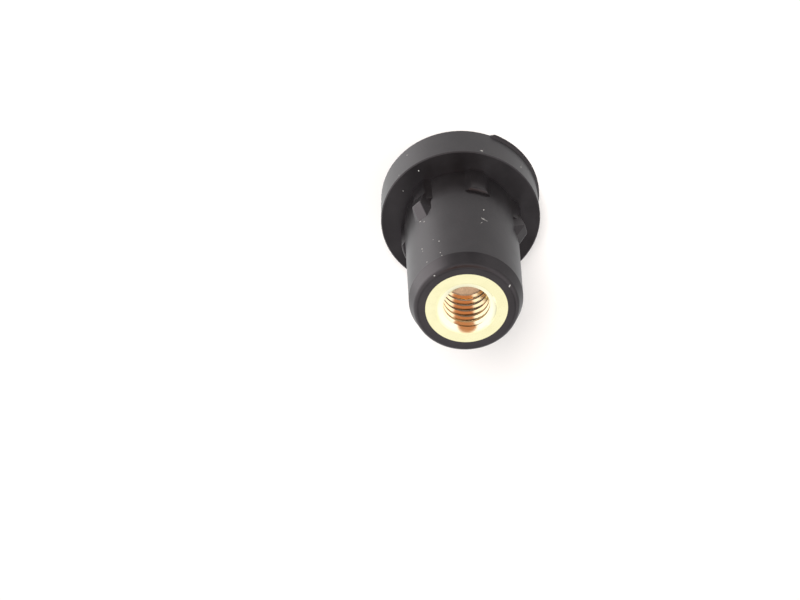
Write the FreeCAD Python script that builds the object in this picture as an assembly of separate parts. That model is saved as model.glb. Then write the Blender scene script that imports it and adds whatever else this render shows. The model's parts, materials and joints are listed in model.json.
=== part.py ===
"""Rubber-sleeved rivet nut: a flanged rubber sleeve moulded round a threaded brass insert.

Millimetres. The nut stands on its flange: Z runs along the axis from the flange's outer face (z = 0)
to the nose, where the brass shows. The first rib lies on +X.
"""
import math
import os

import FreeCAD
import Part
from FreeCAD import Vector

# Thread
thread_d = 6.0                 # nominal size of the screw
thread_pitch = 1.0
threaded_length = 6.3          # from the nose face to the last turn
bolt_margin = 0.25             # plain bore behind the thread, past the nominal size, per side

# Brass insert
insert_wall = 1.4              # brass outside the nominal thread
insert_length = 9.5
sink_margin = 0.2              # countersink past the nominal thread, per side
groove_depth = 0.5             # two rings that lock the brass into the rubber
groove_width = 1.5
flat_count = 6                 # flats between the rings stop the brass turning
flats_depth = 0.25

# Rubber sleeve
rubber_wall = 1.7              # rubber outside the insert at the nose
sleeve_length = 17.4           # flange underside to nose face
sleeve_draft = 0.35            # growth of the sleeve's radius from nose to flange
nose_height = 1.7              # last part of the sleeve, which tapers to the nose face
nose_taper = 20.0              # degrees, from the axis
nose_edge_round = 0.6          # between the taper and the flat ring round the brass
bore_chamfer = 0.3

# Flange
flange_overhang = 2.65         # flange past the sleeve, per side
flange_thickness = 4.7
flange_edge_break = 0.12       # on the underside; the mould parts at the outer face, which stays sharp

# Ribs under the flange, every other one with a snap lug on it
rib_count = 6
rib_width = 2.6                # at its foot
rib_top_width = 1.6
rib_height = 0.48
rib_length = 3.95              # along the sleeve, from the flange underside
rib_edge_round = 0.34
lug_height = 1.0               # above the sleeve, at the ridge
lug_start = 2.8                # heights above the flange underside
lug_ridge = 4.75
lug_shoulder = 5.5             # where it starts to narrow
lug_end = 6.6
lug_width = 2.3                # at its foot
lug_top_width = 1.2            # at its ridge, and down the ramp to its tip
lug_edge_round = 0.26

# Sizes that follow from the ones above
tap_r = (thread_d - thread_pitch) / 2
insert_r = thread_d / 2 + insert_wall
sink_r = thread_d / 2 + sink_margin
bolt_r = thread_d / 2 + bolt_margin
tip_r = insert_r + rubber_wall
root_r = tip_r + sleeve_draft
flange_r = root_r + flange_overhang
total = flange_thickness + sleeve_length
insert_z = total - insert_length
crease_z = total - nose_height
band = (insert_length - 2 * groove_width) / 3


def line_path(points):
    """Straight edges through the points, each given as radius and height."""
    vectors = [Vector(r, 0, z) for r, z in points]
    return [Part.LineSegment(a, b).toShape() for a, b in zip(vectors, vectors[1:])]


def arc(start, middle, end):
    return Part.Arc(*[Vector(r, 0, z) for r, z in (start, middle, end)]).toShape()


def turned(edges):
    """Solid turned about the axis from a closed outline of edges."""
    face = Part.Face(Part.Wire(edges))
    return face.revolve(Vector(0, 0, 0), Vector(0, 0, 1), 360)


def sleeve_radius(z):
    """Radius of the drafted sleeve at a height."""
    return root_r - sleeve_draft * (z - flange_thickness) / (crease_z - flange_thickness)


def insert_outside():
    """Outer form of the brass: three bands with two locking rings, flats on the middle band."""
    ring_r = insert_r - groove_depth
    heights = [insert_z, insert_z + band, insert_z + band + groove_width]
    heights += [total - band - groove_width, total - band, total]
    outline = [(0, heights[0]), (insert_r, heights[0]), (insert_r, heights[1]), (ring_r, heights[1])]
    outline += [(ring_r, heights[2]), (insert_r, heights[2]), (insert_r, heights[3]), (ring_r, heights[3])]
    outline += [(ring_r, heights[4]), (insert_r, heights[4]), (insert_r, heights[5]), (0, heights[5])]
    solid = turned(line_path(outline + [outline[0]]))
    reach = insert_r - flats_depth
    flats = []
    for n in range(flat_count):
        block = Part.makeBox(insert_r, 2 * insert_r, band, Vector(reach, -insert_r, heights[2]))
        block.rotate(Vector(0, 0, 0), Vector(0, 0, 1), 360 * n / flat_count)
        flats.append(block)
    return solid.cut(flats)


def insert_bore():
    """Countersink, tapping bore of the thread and the plain bore behind it, run past both faces."""
    thread_z = total - threaded_length
    step_z = thread_z - (bolt_r - tap_r)
    sink = sink_r - tap_r
    outline = [(0, insert_z - sink), (bolt_r, insert_z - sink), (bolt_r, step_z), (tap_r, thread_z)]
    outline += [(tap_r, total - sink), (sink_r + sink, total + sink), (0, total + sink)]
    return turned(line_path(outline + [outline[0]]))


def sleeve_body():
    """Flange, drafted sleeve and tapered nose in one turned piece, without its hollows."""
    taper = math.radians(nose_taper)
    corner_r = tip_r - nose_height * math.tan(taper)
    run = nose_edge_round * math.tan(math.pi / 4 - taper / 2)
    centre_r = corner_r - run
    centre_z = total - nose_edge_round
    lean = math.pi / 4 + taper / 2
    edge_start = (corner_r + run * math.sin(taper), total - run * math.cos(taper))
    edge_mid = (centre_r + nose_edge_round * math.cos(lean), centre_z + nose_edge_round * math.sin(lean))
    edge_end = (centre_r, total)
    e = flange_edge_break
    seat = flange_thickness
    edges = line_path([(0, 0), (flange_r, 0), (flange_r, seat - e), (flange_r - e, seat), (root_r, seat),
                       (tip_r, crease_z), edge_start])
    edges.append(arc(edge_start, edge_mid, edge_end))
    edges += line_path([edge_end, (0, total), (0, 0)])
    return turned(edges)


def sleeve_bore():
    """Plain bolt hole from the flange to the insert, eased at its mouth and run past it."""
    c = bore_chamfer
    outline = [(0, -c), (bolt_r + 2 * c, -c), (bolt_r, c), (bolt_r, insert_z), (0, insert_z)]
    return turned(line_path(outline + [outline[0]]))


def flared_bar(foot, height, foot_width, top_width):
    """Upright bar on +X whose sides spread from its top to its foot; it runs half its height past both."""
    spread = (foot_width - top_width) / 2 / height
    reach = (foot - height / 2, foot + height + height / 2)
    half = [(x, top_width / 2 + spread * (foot + height - x)) for x in reach]
    vectors = [Vector(x, y, 0) for x, y in half + [(x, -y) for x, y in reversed(half)]]
    face = Part.Face(Part.makePolygon(vectors + vectors[:1]))
    return face.extrude(Vector(0, 0, total))


def rounded(solid, past, inner, radius):
    """The solid with the edges rounded that reach past a distance along X and don't run in to its foot."""
    proud = [e for e in solid.Edges if e.BoundBox.XMax > past and e.BoundBox.XMin > inner]
    return solid.makeFillet(radius, proud)


def rib():
    """Low rib on +X that follows the sleeve from the flange, with spread sides and rounded edges."""
    end = flange_thickness + rib_length
    foot = sleeve_radius(end)
    inner = foot - rib_height
    low = flange_thickness / 2
    outline = [(inner, low), (root_r + rib_height, low), (foot + rib_height, end), (inner, end)]
    bar = flared_bar(foot, rib_height, rib_width, rib_top_width)
    solid = turned(line_path(outline + outline[:1])).common(bar).Solids[0]
    return rounded(solid, foot, foot, rib_edge_round)


def snap_lug():
    """Snap lug on +X: a slow rise from the rib to the ridge, then a ramp; its sides close in on the tip."""
    heights = (lug_start, lug_ridge, lug_shoulder, lug_end)
    start, ridge, shoulder, end = [flange_thickness + v for v in heights]
    foot = sleeve_radius(ridge)
    top = foot + lug_height
    rib_top = sleeve_radius(start) + rib_height
    inner = foot - lug_height
    side = [(inner, start), (rib_top, start), (top, ridge), (sleeve_radius(end), end), (inner, end)]
    profile = Part.Face(Part.Wire(line_path(side + side[:1])))
    profile.translate(Vector(0, -lug_width, 0))
    lug = profile.extrude(Vector(0, 2 * lug_width, 0))
    lug = lug.common(flared_bar(foot, lug_height, lug_width, lug_top_width))
    peak = Vector(top, lug_top_width / 2, ridge)
    tip = Vector(sleeve_radius(end), lug_top_width / 2, end)
    away = (Vector(foot, lug_width / 2, shoulder) - peak).cross(tip - peak)
    for y in (1, -1):
        corner = Vector(peak.x, y * peak.y, peak.z)
        lug = lug.cut(Part.makeCylinder(total, total, corner, Vector(away.x, y * away.y, away.z)))
    return rounded(lug.Solids[0], rib_top, foot - lug_height / 2, lug_edge_round)


outside = insert_outside()
brass_insert = outside.cut(insert_bore())

raised = []
for n in range(rib_count):
    for shape in [rib()] + ([snap_lug()] if n % 2 else []):
        shape.rotate(Vector(0, 0, 0), Vector(0, 0, 1), 360 * n / rib_count)
        raised.append(shape)
rubber_sleeve = sleeve_body().fuse(raised).removeSplitter()
rubber_sleeve = rubber_sleeve.cut([outside, sleeve_bore()])

os.makedirs("parts", exist_ok=True)
for name, shape in (("rubber_sleeve", rubber_sleeve), ("brass_insert", brass_insert)):
    solid = shape.Solids[0]
    solid.exportStep("parts/" + name + ".step")
    box = solid.optimalBoundingBox()
    print(name, "valid", solid.isValid(), "solids", len(shape.Solids), "volume mm3", round(solid.Volume, 2),
          "box", [round(v, 3) for v in (box.XMin, box.YMin, box.ZMin, box.XMax, box.YMax, box.ZMax)])
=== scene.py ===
import json
import math

import bpy
from mathutils import Matrix, Vector


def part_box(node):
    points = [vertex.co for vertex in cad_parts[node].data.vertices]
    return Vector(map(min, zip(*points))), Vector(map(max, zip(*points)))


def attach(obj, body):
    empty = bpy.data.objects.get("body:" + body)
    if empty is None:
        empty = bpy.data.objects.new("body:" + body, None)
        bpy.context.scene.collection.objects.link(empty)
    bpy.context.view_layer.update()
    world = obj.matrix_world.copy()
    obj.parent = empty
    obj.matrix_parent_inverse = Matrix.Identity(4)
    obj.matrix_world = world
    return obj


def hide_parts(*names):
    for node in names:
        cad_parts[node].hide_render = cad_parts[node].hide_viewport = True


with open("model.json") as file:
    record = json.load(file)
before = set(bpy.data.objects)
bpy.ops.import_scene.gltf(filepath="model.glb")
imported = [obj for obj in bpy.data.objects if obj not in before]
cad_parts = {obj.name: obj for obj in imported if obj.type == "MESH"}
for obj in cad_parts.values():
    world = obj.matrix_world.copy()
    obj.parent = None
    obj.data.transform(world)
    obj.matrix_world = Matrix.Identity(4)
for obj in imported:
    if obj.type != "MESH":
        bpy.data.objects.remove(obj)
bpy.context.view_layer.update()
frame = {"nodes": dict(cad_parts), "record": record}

MM = 0.001

# How near, in metres, points count as one, as lying on a cut or as lying on a turned edge
MERGE_WITHIN = 1e-6
CUT_WITHIN = 1e-7
RING_WITHIN = 0.02 * MM

# Sizes read from the frame
mounts = {m["name"]: m for m in frame["record"]["mounts"]}
flange_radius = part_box("rubber_sleeve")[1].x
nose_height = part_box("rubber_sleeve")[1].z
insert_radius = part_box("brass_insert")[1].x
insert_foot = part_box("brass_insert")[0].z
tapping_radius = mounts["thread"]["dims"]["r_mm"] * MM
thread_length = mounts["thread"]["dims"]["length_mm"] * MM
thread_middle = mounts["thread"]["pos_m"][2]
bolt_radius = mounts["bolt_hole"]["dims"]["r_mm"] * MM

# Brass insert: countersink, locking rings and eased edges
SINK_RADIUS = 3.25 * MM
SINK_DEPTH = 0.36 * MM
SINK_EDGE_BREAK = 0.05 * MM
FACE_EDGE_BEVEL = 0.04 * MM
GROOVE_DEPTH = 0.5 * MM
GROOVE_WIDTH = 1.5 * MM
INSERT_STEPS = 144
INSERT_SHARP_ANGLE = 14

# Thread, and the tap that cuts it: it starts below the nose face and runs past the last turn
PITCH = 1.0 * MM
THREAD_RADIUS = 3.0 * MM
ROOT_FLAT = PITCH / 8
FLANK_ANGLE = 30
THREAD_STEPS = 96
SPARE_TURNS = 2
TAP_CLEARANCE = 0.05 * MM
TAP_OVERRUN = 0.3 * MM
TAP_BELOW_FACE = 0.3 * MM

# Flash left by the mould at the rim of the flange's outer face. Its ends are angles round the flange,
# and its root is a share of the way out to the chord between them
FLASH_OFFSET = 0.36 * MM
FLASH_LEANS_TO = 215
FLASH_LOW = 0.02 * MM
FLASH_HIGH = 0.6 * MM
FLASH_SLOPE = 45
FLASH_END_SLANT = 60
FLASH_FADES_AT = 152
FLASH_ENDS_AT = 234
FLASH_ROOT = 0.98
FLASH_STEPS = 240
FLASH_EDGE_BEVEL = 0.06 * MM
FLASH_SHARP_ANGLE = 40

# Dust on the rubber: angle and height (or radius, on the faces), length, width and turn
DUST_ON_SIDE = (
    (297, 1.4, 0.16, 0.12, 0), (305.5, 4.2, 0.12, 0.1, 0), (241, 4.1, 0.3, 0.12, 80),
    (207, 3, 0.2, 0.12, 20), (235, 11.9, 0.18, 0.14, 0), (282.5, 17.4, 0.16, 0.12, 40),
    (289, 16.6, 0.1, 0.08, 0), (303.5, 16.8, 0.26, 0.12, 0), (303, 17.3, 0.12, 0.08, 0),
    (282, 19.6, 0.14, 0.1, 0), (280.5, 20.2, 0.12, 0.1, 0), (298, 19.9, 0.14, 0.1, 0),
    (304, 11.4, 0.22, 0.12, 70), (298.5, 12.1, 0.24, 0.1, 60),
    (235.5, 13.8, 0.85, 0.045, 62), (236.5, 13.7, 0.5, 0.04, -50), (238.5, 14.6, 0.3, 0.05, -40),
)
DUST_ON_FACES = (
    (291, 8.2, 0.18, 0.14, 0), (313.5, 7.7, 0.14, 0.12, 0), (294.5, 5.4, 0.2, 0.12, 80),
    (198, 5.3, 0.34, 0.13, 20),
)
DUST_SEED = 4
DUST_LUMPS = 0.14
DUST_FLATNESS = 0.7
DUST_SHARP_ANGLE = 60

# Rubber finish
RUBBER_DARK = (0.006, 0.0055, 0.006)
RUBBER_PALE = (0.016, 0.0148, 0.0155)
RUBBER_ROUGHNESS = (0.28, 0.36)
RUBBER_SHINE = 0.53
RUBBER_SHINE_TINT = (1.0, 0.89, 0.93, 1)

# Dust finish
DUST_DARK = (0.34, 0.33, 0.31)
DUST_PALE = (0.6, 0.58, 0.55)
DUST_ROUGHNESS = 0.9

# Brass finish: on the face, in the countersink and down in the thread, by depth below the nose face. The
# paler countersink colour is a painted highlight, and the coppery colour down in the thread is painted light,
# the tint of light bounced round inside the hole
BRASS_DULL = (0.87, 0.82, 0.50)
BRASS_BRIGHT = (0.93, 0.88, 0.56)
BRASS_PAINTED_HIGHLIGHT = (0.93, 0.89, 0.64)
BRASS_PAINTED_BOUNCE = (0.92, 0.74, 0.46)
BRASS_ROUGHNESS = (0.08, 0.13)
THREAD_ROUGHNESS = (0.15, 0.15, 0.15)
SUNK_FROM = 0.03 * MM
SUNK_TO = 0.12 * MM
DEEP_TO = 2.5 * MM
ROUGH_TO = SINK_DEPTH + 0.3 * MM

# Camera, in millimetres and degrees, and the lens and film in millimetres
CAMERA_PLACE = (-18.015, -96.309, 159.934)
CAMERA_AZIMUTH = -14.7
CAMERA_ELEVATION = 55.0
CAMERA_ROLL = 179.45
CAMERA_LENS = 72.11
FILM_WIDTH = 36
CAMERA_NEAR = 5 * MM

# Floor: its size in metres, its paper, and the share of plain white that the camera adds to it
FLOOR_SIZE = 3.0
FLOOR_PAPER = (0.92, 0.86, 0.82, 1)
FLOOR_WHITE = 0.36

# Light: the room's level, and how reflections show it: brighter at the left, most of all low at the
# front left, dim round the camera, high at the back and low at the front. A spot has its direction
# (azimuth and elevation), the angles from it at which it starts and is full, and its level
WORLD_LIGHT = 0.45
LEFT_GAIN = 0.35
RIGHT_LOSS = 0.3
ROOM_LEVEL = 0.88
HIGH_LEVEL = 1.4
HIGH_FROM = (-0.1, 0.75)
FRONT_BRIGHT = ((328, -18), (45, 10), 1.9)
CAMERA_DIM = ((255.3, 63), (27, 21), 0.42)
CAMERA_DIM_COLOUR = (1.0, 0.42, 0.21)
BACK_DIM = ((75.3, 54.5), (38, 16), 0.2)
FRONT_DIM = ((255.3, -8), (42, 14), 0.45)
HOLE_LAMP_COLOUR = (1.0, 0.82, 0.78)


def direction(azimuth, elevation):
    a, e = math.radians(azimuth), math.radians(elevation)
    return Vector((math.cos(a) * math.cos(e), math.sin(a) * math.cos(e), math.sin(e)))


def raised(height):
    return Vector((0, 0, height))


def deselect():
    bpy.ops.object.select_all(action="DESELECT")


def pick(piece):
    """Selects one piece alone and makes it the active one."""
    deselect()
    piece.select_set(True)
    bpy.context.view_layer.objects.active = piece


def edit(piece, kind="VERT"):
    """Opens one piece in edit mode with nothing selected, ready to pick points, edges or faces."""
    pick(piece)
    bpy.ops.object.mode_set(mode="EDIT")
    bpy.ops.mesh.select_mode(type=kind)
    bpy.ops.mesh.select_all(action="DESELECT")


def edit_all(piece):
    """Opens one piece in edit mode with all of it selected."""
    edit(piece)
    bpy.ops.mesh.select_all(action="SELECT")


def leave():
    bpy.ops.object.mode_set(mode="OBJECT")


def label(piece, name):
    piece.name = name
    piece.data.name = name


def close_up(piece):
    """Merges doubles and turns the faces outwards."""
    edit_all(piece)
    bpy.ops.mesh.remove_doubles(threshold=MERGE_WITHIN)
    bpy.ops.mesh.normals_make_consistent(inside=False)
    leave()


def cut_off(place, normal):
    """Cuts off the side of the open piece that the normal points to, and closes the cut."""
    bpy.ops.mesh.select_all(action="SELECT")
    bpy.ops.mesh.bisect(plane_co=place, plane_no=normal, use_fill=True, clear_outer=True,
                        threshold=CUT_WITHIN)


def apply_modifiers(piece):
    pick(piece)
    for modifier in list(piece.modifiers):
        bpy.ops.object.modifier_apply(modifier=modifier.name)


def smooth(piece, sharp_angle):
    pick(piece)
    bpy.ops.object.shade_smooth_by_angle(angle=math.radians(sharp_angle))


def turned(name, path, steps):
    """A ring pulled along a path of radius and height, as on a lathe, and closed on its start."""
    deselect()
    radius, height = path[0]
    bpy.ops.mesh.primitive_circle_add(vertices=steps, radius=radius, location=(0, 0, 0))
    piece = bpy.context.object
    label(piece, name)
    edit_all(piece)
    bpy.ops.transform.translate(value=(0, 0, height))
    for (r0, z0), (r1, z1) in zip(path, path[1:] + path[:1]):
        bpy.ops.mesh.extrude_edges_move(TRANSFORM_OT_translate={"value": (0, 0, z1 - z0)})
        bpy.ops.transform.resize(value=(r1 / r0, r1 / r0, 1), center_override=(0, 0, z1))
    leave()
    close_up(piece)
    return piece


def bevel_ring(piece, radius, height, width, segments):
    """Bevels one turned edge, found by its radius and height."""
    edit(piece, "EDGE")
    leave()
    on_ring = [abs(math.hypot(v.co.x, v.co.y) - radius) < RING_WITHIN and abs(v.co.z - height) < RING_WITHIN
               for v in piece.data.vertices]
    for e in piece.data.edges:
        e.select = all(on_ring[i] for i in e.vertices)
    bpy.ops.object.mode_set(mode="EDIT")
    bpy.ops.mesh.bevel(offset=width, segments=segments, affect="EDGES")
    leave()


def thread_tap(low, high):
    """A closed screw rod with the grooves of the thread, to be cut out of the insert."""
    core = tapping_radius - TAP_CLEARANCE
    depth = THREAD_RADIUS - core
    flank = depth * math.tan(math.radians(FLANK_ANGLE))
    land = (PITCH - ROOT_FLAT - 2 * flank) / 2
    deselect()
    bpy.ops.mesh.primitive_plane_add(size=PITCH, location=(0, 0, 0))
    tap = bpy.context.object
    tap.name = "thread_tap"
    edit_all(tap)
    bpy.ops.mesh.merge(type="CENTER")
    bpy.ops.transform.translate(value=(core, 0, low - SPARE_TURNS * PITCH))
    for out, rise in ((0, land), (depth, flank), (0, ROOT_FLAT), (-depth, flank), (0, land)):
        bpy.ops.mesh.extrude_vertices_move(TRANSFORM_OT_translate={"value": (out, 0, rise)})
    leave()
    screw = tap.modifiers.new("screw", "SCREW")
    screw.axis = "Z"
    screw.angle = math.radians(360)
    screw.screw_offset = PITCH
    screw.iterations = math.ceil((high - low) / PITCH) + 2 * SPARE_TURNS
    screw.steps = screw.render_steps = THREAD_STEPS
    apply_modifiers(tap)
    close_up(tap)
    for height, outward in ((low, -1), (high, 1)):
        edit(tap)
        cut_off((0, 0, height), (0, 0, outward))
        leave()
    close_up(tap)
    return tap


def make_brass_insert():
    """Turned insert with its locking rings, countersink and lead-in, and the real thread cut into it."""
    thread_foot = thread_middle - thread_length / 2
    band = (nose_height - insert_foot - 2 * GROOVE_WIDTH) / 3
    ring = insert_radius - GROOVE_DEPTH
    step = thread_foot - (bolt_radius - tapping_radius)
    path = [(insert_radius, insert_foot)]
    for groove in (insert_foot + band, nose_height - band - GROOVE_WIDTH):
        path += [(insert_radius, groove), (ring, groove)]
        path += [(ring, groove + GROOVE_WIDTH), (insert_radius, groove + GROOVE_WIDTH)]
    path += [(insert_radius, nose_height), (SINK_RADIUS, nose_height)]
    path += [(tapping_radius, nose_height - SINK_DEPTH), (tapping_radius, thread_foot)]
    path += [(bolt_radius, step), (bolt_radius, insert_foot)]
    piece = turned("threaded_brass_insert", path, INSERT_STEPS)
    bevel_ring(piece, insert_radius, nose_height, FACE_EDGE_BEVEL, segments=3)
    bevel_ring(piece, SINK_RADIUS, nose_height, SINK_EDGE_BREAK, segments=1)
    tap = thread_tap(step - TAP_OVERRUN, nose_height - TAP_BELOW_FACE)
    cut = piece.modifiers.new("thread", "BOOLEAN")
    cut.operation = "DIFFERENCE"
    cut.object = tap
    cut.solver = "EXACT"
    apply_modifiers(piece)
    bpy.data.objects.remove(tap)
    close_up(piece)
    smooth(piece, INSERT_SHARP_ANGLE)
    return piece


def make_flash_lip():
    """Thin crescent where the mould halves met off centre: a shifted low cone, kept on one side only."""
    height = FLASH_HIGH - FLASH_LOW
    top_radius = flange_radius - height * math.tan(math.radians(FLASH_SLOPE))
    centre = direction(FLASH_LEANS_TO, 0) * FLASH_OFFSET
    deselect()
    bpy.ops.mesh.primitive_cone_add(vertices=FLASH_STEPS, radius1=flange_radius, radius2=top_radius,
                                    depth=height, location=centre + raised(FLASH_LOW + height / 2))
    piece = bpy.context.object
    label(piece, "mould_flash")
    bpy.ops.object.transform_apply(location=True, rotation=False, scale=False)
    edit(piece)
    for angle, side in ((FLASH_FADES_AT, -1), (FLASH_ENDS_AT, 1)):
        slanted = angle + side * (90 - FLASH_END_SLANT)
        cut_off(direction(angle, 0) * flange_radius, direction(slanted, 0))
    chord = direction((FLASH_FADES_AT + FLASH_ENDS_AT) / 2, 0)
    half = math.radians((FLASH_ENDS_AT - FLASH_FADES_AT) / 2)
    cut_off(chord * flange_radius * math.cos(half) * FLASH_ROOT, -chord)
    leave()
    close_up(piece)
    bevel = piece.modifiers.new("soft", "BEVEL")
    bevel.width = FLASH_EDGE_BEVEL
    bevel.segments = 2
    apply_modifiers(piece)
    smooth(piece, FLASH_SHARP_ANGLE)
    return piece


def dust_copy(speck, spot, length, width, turn):
    """A copy of the speck with its own mesh, stretched, turned and laid on a spot that a ray found."""
    _, place, normal, _ = spot
    faces_up = abs(normal.z) >= 0.9
    start = Vector((place.x, place.y, 0)).normalized() if faces_up else raised(1)
    start = (start - normal * start.dot(normal)).normalized()
    along = Matrix.Rotation(math.radians(turn), 3, normal) @ start
    across = along.cross(normal)
    sides = (across * width * MM, along * length * MM, normal * width * MM * DUST_FLATNESS)
    copy = speck.copy()
    copy.data = speck.data.copy()
    bpy.context.scene.collection.objects.link(copy)
    copy.matrix_world = Matrix.Translation(place) @ Matrix(sides).transposed().to_4x4()
    return copy


def make_dust(sleeve):
    """Pale specks and a short fibre: one lumpy speck, copied at its sizes onto the rubber."""
    deselect()
    bpy.ops.mesh.primitive_ico_sphere_add(subdivisions=2, radius=0.5, location=(0, 0, 0))
    speck = bpy.context.object
    edit_all(speck)
    bpy.ops.transform.vertex_random(offset=DUST_LUMPS, seed=DUST_SEED)
    leave()
    copies = []
    for angle, height, length, width, turn in DUST_ON_SIDE:
        out = direction(angle, 0)
        spot = sleeve.ray_cast(out * 2 * flange_radius + raised(height * MM), -out)
        copies.append(dust_copy(speck, spot, length, width, turn))
    for angle, radius, length, width, turn in DUST_ON_FACES:
        above = direction(angle, 0) * radius * MM + raised(2 * nose_height)
        spot = sleeve.ray_cast(above, raised(-1))
        copies.append(dust_copy(speck, spot, length, width, turn))
    bpy.data.objects.remove(speck)
    deselect()
    for copy in copies:
        copy.select_set(True)
    bpy.context.view_layer.objects.active = copies[0]
    bpy.ops.object.transform_apply(location=True, rotation=True, scale=True)
    bpy.ops.object.join()
    piece = bpy.context.object
    label(piece, "dust_specks")
    edit_all(piece)
    bpy.ops.mesh.normals_make_consistent(inside=False)
    leave()
    smooth(piece, DUST_SHARP_ANGLE)
    return piece


class Look:
    """A node material with short helpers for placing and joining nodes."""

    def __init__(self, name):
        self.material = bpy.data.materials.new(name)
        self.material.use_nodes = True
        self.tree = self.material.node_tree
        self.shader = self.tree.nodes["Principled BSDF"]
        self.place = self.node("ShaderNodeTexCoord").outputs["Object"]

    def node(self, kind, **values):
        n = self.tree.nodes.new(kind)
        for key, value in values.items():
            setattr(n, key, value)
        return n

    def join(self, a, b):
        self.tree.links.new(a, b)

    def noise(self, scale, detail):
        n = self.node("ShaderNodeTexNoise")
        n.inputs["Scale"].default_value = scale
        n.inputs["Detail"].default_value = detail
        n.inputs["Roughness"].default_value = 0.55
        self.join(self.place, n.inputs["Vector"])
        return n.outputs["Fac"]

    def ramp(self, source, low, first, high, second):
        """Runs from the first colour to the second as the source goes from low to high."""
        n = self.node("ShaderNodeValToRGB")
        for mark, at, colour in zip(n.color_ramp.elements, (low, high), (first, second)):
            mark.position = at
            mark.color = (*colour, 1)
        self.join(source, n.inputs["Fac"])
        return n.outputs["Color"]

    def span(self, source, low, high, to_low=0.0, to_high=1.0):
        n = self.node("ShaderNodeMapRange")
        for key, value in (("From Min", low), ("From Max", high), ("To Min", to_low), ("To Max", to_high)):
            n.inputs[key].default_value = value
        self.join(source, n.inputs["Value"])
        return n.outputs["Result"]

    def mix(self, factor, a, colour):
        n = self.node("ShaderNodeMix", data_type="RGBA")
        self.join(factor, n.inputs["Factor"])
        self.join(a, n.inputs["A"])
        n.inputs["B"].default_value = (*colour, 1)
        return n.outputs["Result"]

    def bump(self, height, strength, distance, after=None):
        n = self.node("ShaderNodeBump")
        n.inputs["Strength"].default_value = strength
        n.inputs["Distance"].default_value = distance
        self.join(height, n.inputs["Height"])
        if after is not None:
            self.join(after, n.inputs["Normal"])
        return n.outputs["Normal"]

    def feed(self, socket, source):
        self.join(source, self.shader.inputs[socket])

    def set(self, socket, value):
        self.shader.inputs[socket].default_value = value


def moulded_rubber():
    """Matte black moulded rubber: cloudy charcoal, fine grain, slightly uneven gloss."""
    look = Look("moulded_rubber")
    cloud = look.noise(scale=260, detail=4)
    grain = look.noise(scale=5200, detail=2)
    waves = look.noise(scale=420, detail=3)
    look.feed("Base Color", look.ramp(cloud, 0.35, RUBBER_DARK, 0.72, RUBBER_PALE))
    look.feed("Roughness", look.span(cloud, 0.3, 0.75, *RUBBER_ROUGHNESS))
    wavy = look.bump(waves, strength=0.10, distance=0.05 * MM)
    look.feed("Normal", look.bump(grain, strength=0.12, distance=0.02 * MM, after=wavy))
    look.set("Specular IOR Level", RUBBER_SHINE)
    look.set("Specular Tint", RUBBER_SHINE_TINT)
    return look.material


def pale_dust():
    look = Look("pale_dust")
    look.feed("Base Color", look.ramp(look.noise(scale=3000, detail=3), 0.3, DUST_DARK, 0.7, DUST_PALE))
    look.set("Roughness", DUST_ROUGHNESS)
    return look.material


def turned_brass():
    """Bright turned brass, less polished in the thread, with a painted highlight (a paler colour) in the
    countersink and painted bounced light (a more coppery colour) down the thread.
    """
    look = Look("turned_brass")
    cloud = look.noise(scale=700, detail=3)
    axes = look.node("ShaderNodeSeparateXYZ")
    look.join(look.place, axes.inputs["Vector"])
    height = axes.outputs["Z"]
    # Paler colour in the countersink: a painted highlight
    painted_highlight_mask = look.span(height, nose_height - SUNK_FROM, nose_height - SUNK_TO)
    # Coppery colour down the thread: painted light, the tint of light bounced round inside the hole
    painted_bounce_mask = look.span(height, nose_height - SINK_DEPTH, nose_height - DEEP_TO)
    tapped = look.span(height, nose_height - SINK_DEPTH, nose_height - ROUGH_TO)
    tone = look.ramp(cloud, 0.3, BRASS_DULL, 0.75, BRASS_BRIGHT)
    tone = look.mix(painted_highlight_mask, tone, BRASS_PAINTED_HIGHLIGHT)
    look.feed("Base Color", look.mix(painted_bounce_mask, tone, BRASS_PAINTED_BOUNCE))
    polish = look.span(cloud, 0.3, 0.75, *BRASS_ROUGHNESS)
    look.feed("Roughness", look.mix(tapped, polish, THREAD_ROUGHNESS))
    rings = look.node("ShaderNodeTexWave", wave_type="RINGS", rings_direction="Z")
    rings.inputs["Scale"].default_value = 2600
    rings.inputs["Distortion"].default_value = 1.5
    look.join(look.place, rings.inputs["Vector"])
    look.feed("Normal", look.bump(rings.outputs["Fac"], strength=0.05, distance=0.01 * MM))
    look.set("Metallic", 1.0)
    return look.material


def white_floor():
    """White paper, lifted towards plain white for the camera, that keeps a faint shadow."""
    material = bpy.data.materials.new("white_floor")
    material.use_nodes = True
    nodes, links = material.node_tree.nodes, material.node_tree.links
    nodes.clear()
    paper = nodes.new("ShaderNodeBsdfDiffuse")
    paper.inputs["Color"].default_value = FLOOR_PAPER
    glow = nodes.new("ShaderNodeEmission")
    share = nodes.new("ShaderNodeMath")
    share.operation = "MULTIPLY"
    share.inputs[1].default_value = FLOOR_WHITE
    links.new(nodes.new("ShaderNodeLightPath").outputs["Is Camera Ray"], share.inputs[0])
    blend = nodes.new("ShaderNodeMixShader")
    links.new(share.outputs[0], blend.inputs["Fac"])
    links.new(paper.outputs[0], blend.inputs[1])
    links.new(glow.outputs[0], blend.inputs[2])
    out = nodes.new("ShaderNodeOutputMaterial")
    links.new(blend.outputs[0], out.inputs["Surface"])
    return material


def lay_floor():
    """The floor; reflections look past it into the white room."""
    deselect()
    bpy.ops.mesh.primitive_plane_add(size=FLOOR_SIZE, location=(0, 0, 0))
    floor = bpy.context.object
    floor.name = "floor"
    floor.visible_glossy = False
    floor.data.materials.append(white_floor())


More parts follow.
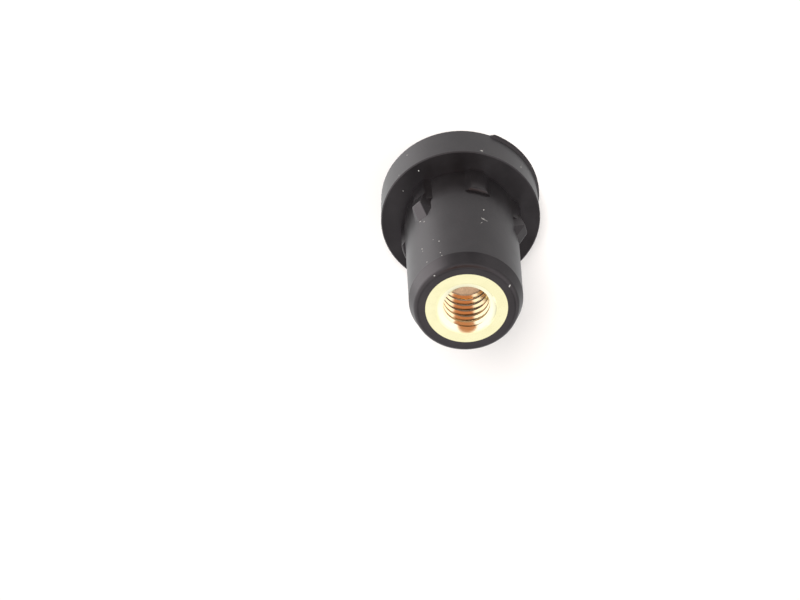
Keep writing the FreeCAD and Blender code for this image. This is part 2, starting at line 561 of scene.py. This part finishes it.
class Room:
    """The world's nodes: white to the camera, a plain level as light, shaded by direction in reflections."""

    def __init__(self):
        world = bpy.data.worlds.new("white_room")
        bpy.context.scene.world = world
        world.use_nodes = True
        self.nodes = world.node_tree.nodes
        self.links = world.node_tree.links
        self.way = self.nodes.new("ShaderNodeTexCoord").outputs["Generated"]

    def along(self, axis):
        n = self.nodes.new("ShaderNodeVectorMath")
        n.operation = "DOT_PRODUCT"
        n.inputs[1].default_value = axis
        self.links.new(self.way, n.inputs[0])
        return n.outputs["Value"]

    def span(self, source, low, high, to_low, to_high, kind="SMOOTHSTEP"):
        n = self.nodes.new("ShaderNodeMapRange")
        n.interpolation_type = kind
        for key, value in (("From Min", low), ("From Max", high), ("To Min", to_low), ("To Max", to_high)):
            if hasattr(value, "is_linked"):
                self.links.new(value, n.inputs[key])
            else:
                n.inputs[key].default_value = value
        self.links.new(source, n.inputs["Value"])
        return n.outputs["Result"]

    def patch(self, away, centre, angles, level):
        """One value away from a direction, the level near it; the angles give where it starts and is full."""
        low, high = (math.cos(math.radians(v)) for v in angles)
        return self.span(self.along(direction(*centre)), low, high, away, level)

    def pair(self, operation, a, b):
        n = self.nodes.new("ShaderNodeMath")
        n.operation = operation
        self.links.new(a, n.inputs[0])
        self.links.new(b, n.inputs[1])
        return n.outputs[0]

    def finish(self, mirrored, warm):
        """Joins the level that reflections see, and the warm tint round the camera, to the background."""
        path = self.nodes.new("ShaderNodeLightPath").outputs
        glossy = path["Is Glossy Ray"]
        light = self.span(glossy, 0.0, 1.0, WORLD_LIGHT, mirrored, "LINEAR")
        seen = self.span(path["Is Camera Ray"], 0.0, 1.0, light, 1.0, "LINEAR")
        back = self.nodes["Background"]
        self.links.new(seen, back.inputs["Strength"])
        tint = self.nodes.new("ShaderNodeMix")
        tint.data_type = "RGBA"
        self.links.new(self.pair("MULTIPLY", glossy, warm), tint.inputs["Factor"])
        tint.inputs["A"].default_value = (1, 1, 1, 1)
        tint.inputs["B"].default_value = (*CAMERA_DIM_COLOUR, 1)
        self.links.new(tint.outputs["Result"], back.inputs["Color"])


def white_room():
    room = Room()
    left = room.along(-camera_axes()[0])
    gain = room.span(left, 0.0, 1.0, ROOM_LEVEL, ROOM_LEVEL + LEFT_GAIN, "LINEAR")
    loss = room.span(left, -1.0, 0.0, -RIGHT_LOSS, 0.0, "LINEAR")
    level = room.pair("ADD", gain, loss)
    level = room.span(room.along((0, 0, 1)), *HIGH_FROM, level, HIGH_LEVEL)
    level = room.pair("ADD", level, room.patch(0.0, *FRONT_BRIGHT))
    for spot in (CAMERA_DIM, BACK_DIM, FRONT_DIM):
        level = room.pair("MULTIPLY", level, room.patch(1.0, *spot))
    centre, angles, _ = CAMERA_DIM
    room.finish(level, room.patch(0.0, centre, angles, 1.0))


def soft_lamp(name, target, azimuth, elevation, distance, size, power, mirrored=True, colour=(1, 1, 1)):
    """A square lamp that faces a height on the axis, placed by its direction from there."""
    way = direction(azimuth, elevation)
    data = bpy.data.lights.new(name, "AREA")
    data.size = size
    data.energy = power
    data.color = colour
    lamp = bpy.data.objects.new(name, data)
    bpy.context.scene.collection.objects.link(lamp)
    lamp.location = raised(target) + way * distance
    lamp.rotation_euler = way.to_track_quat("Z", "Y").to_euler()
    lamp.visible_camera = False
    lamp.visible_glossy = mirrored


def hang_lamps():
    """Two lamps for the floor and its shadow, a card over the brass face, and a lamp under the hole."""
    middle = nose_height / 2
    soft_lamp("left_lamp", middle, azimuth=269, elevation=49.3, distance=0.6, size=0.2, power=4.1,
              mirrored=False)
    soft_lamp("right_lamp", middle, azimuth=175, elevation=40, distance=0.6, size=0.4, power=0.9,
              mirrored=False)
    soft_lamp("nose_card", nose_height, azimuth=75.3, elevation=54.5, distance=25 * MM, size=19 * MM,
              power=0.00093)
    soft_lamp("hole_lamp", nose_height, azimuth=0, elevation=-90, distance=nose_height - 0.5 * MM,
              size=5 * MM, power=0.0006, colour=HOLE_LAMP_COLOUR)


def camera_axes():
    """The camera's right, up and backward directions."""
    az, el, roll = (math.radians(v) for v in (CAMERA_AZIMUTH, CAMERA_ELEVATION, CAMERA_ROLL))
    back = Vector((math.sin(az) * math.cos(el), -math.cos(az) * math.cos(el), math.sin(el)))
    level = Vector((math.cos(az), math.sin(az), 0))
    rise = back.cross(level)
    right = level * math.cos(roll) + rise * math.sin(roll)
    up = rise * math.cos(roll) - level * math.sin(roll)
    return right, up, back


def set_camera():
    data = bpy.data.cameras.new("camera")
    data.lens = CAMERA_LENS
    data.sensor_width = FILM_WIDTH
    data.clip_start = CAMERA_NEAR
    camera = bpy.data.objects.new("camera", data)
    bpy.context.scene.collection.objects.link(camera)
    turn = Matrix(camera_axes()).transposed().to_4x4()
    camera.matrix_world = Matrix.Translation(Vector(CAMERA_PLACE) * MM) @ turn
    bpy.context.scene.camera = camera


def give(piece, material):
    piece.data.materials.clear()
    piece.data.materials.append(material)


rubber = moulded_rubber()
give(frame["nodes"]["rubber_sleeve"], rubber)

insert = make_brass_insert()
give(insert, turned_brass())
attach(insert, "root")
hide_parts("brass_insert")

flash = make_flash_lip()
give(flash, rubber)
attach(flash, "root")

dust = make_dust(frame["nodes"]["rubber_sleeve"])
give(dust, pale_dust())
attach(dust, "root")

lay_floor()
white_room()
hang_lamps()
set_camera()
bpy.context.scene.view_settings.view_transform = "Standard"
